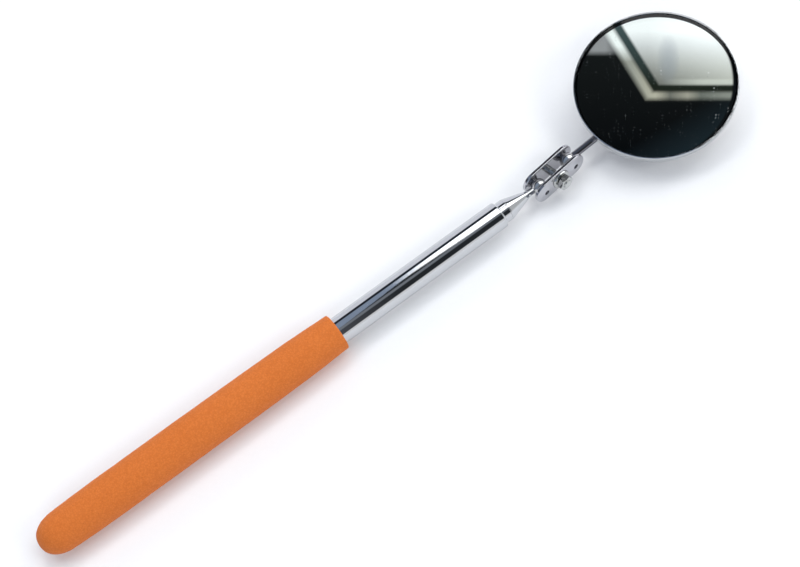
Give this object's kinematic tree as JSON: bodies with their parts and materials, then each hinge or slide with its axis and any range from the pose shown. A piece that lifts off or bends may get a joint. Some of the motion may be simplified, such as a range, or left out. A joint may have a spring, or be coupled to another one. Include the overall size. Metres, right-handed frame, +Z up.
{
  "type": "telescoping inspection mirror",
  "caption": "Telescoping inspection mirror with an orange cushion grip, chrome two-stage tube, double-ball clamp and round glass mirror.",
  "frame": {"origin": "on the tube's axis, in the middle of the grip's widest straight stretch", "axes": "+X along the tube from the grip's butt to the mirror, +Z up from the surface the tool lies on, +Y across"},
  "size_m": [0.286, 0.0566, 0.0211],
  "materials": {
    "cushion_orange": "matte foam vinyl",
    "chrome": "bright plated",
    "plated_steel": "satin plated",
    "bronze": "plain",
    "plug": "plain",
    "cushion_pad": "felted",
    "mirror_glass": "silvered glass"
  },
  "bodies": {
    "handle": {"grip_sleeve": "cushion_orange", "tube_end_plug": "plug", "outer_tube": "chrome"},
    "extension": {"rear_bush": "bronze", "friction_spring_upper": "bronze", "friction_spring_lower": "bronze"},
    "tip": {"inner_tube": "chrome", "tip_cone": "chrome", "ball_stud": "chrome"},
    "first_ball": {"handle_ball": "plated_steel"},
    "clamp": {"clamp_plate_far": "chrome", "clamp_plate_near": "chrome", "clamp_screw": "plated_steel", "spring_washer": "plated_steel"},
    "nut": {"clamp_nut": "plated_steel"},
    "second_ball": {"mirror_ball": "plated_steel"},
    "stem": {"mirror_stem": "chrome", "stem_retainer": "plated_steel"},
    "head": {"stem_bracket": "chrome", "bracket_rivets": "plated_steel", "mirror_shell": "chrome", "glass_cushion": "cushion_pad", "mirror_glass": "mirror_glass"}
  },
  "joints": [
    {"name": "telescope", "type": "slide", "parent": "handle", "child": "extension", "axis": [1, 0, 0], "range_m": [0, 0.125]},
    {"name": "tube_turn", "type": "hinge", "parent": "extension", "child": "tip", "pos_m": [0.1, 0, 0], "axis": [1, 0, 0], "continuous": true},
    {"name": "first_ball_nod", "type": "hinge", "parent": "tip", "child": "first_ball", "pos_m": [0.159, 0, 0], "axis": [0, 0, 1], "range_deg": [-17.8, 4.2]},
    {"name": "first_ball_swing", "type": "hinge", "parent": "first_ball", "child": "clamp", "pos_m": [0.159, 0, 0], "axis": [0.1184, -0.993, 0], "range_deg": [-74, 74]},
    {"name": "nut_turn", "type": "hinge", "parent": "clamp", "child": "nut", "pos_m": [0.16673, -0.00482, 0], "axis": [0.1184, -0.993, 0], "range_deg": [-180, 30]},
    {"name": "second_ball_swing", "type": "hinge", "parent": "clamp", "child": "second_ball", "pos_m": [0.1731, 0.00168, 0], "axis": [0.1184, -0.993, 0], "range_deg": [-79.6, 68.4]},
    {"name": "second_ball_nod", "type": "hinge", "parent": "second_ball", "child": "stem", "pos_m": [0.1731, 0.00168, 0], "axis": [-0.0969, -0.0116, 0.9952], "range_deg": [-4.7, 18.3]},
    {"name": "stem_turn", "type": "hinge", "parent": "stem", "child": "head", "pos_m": [0.1731, 0.00168, 0], "axis": [0.9953, -0.0006, 0.0969], "continuous": true}
  ]
}
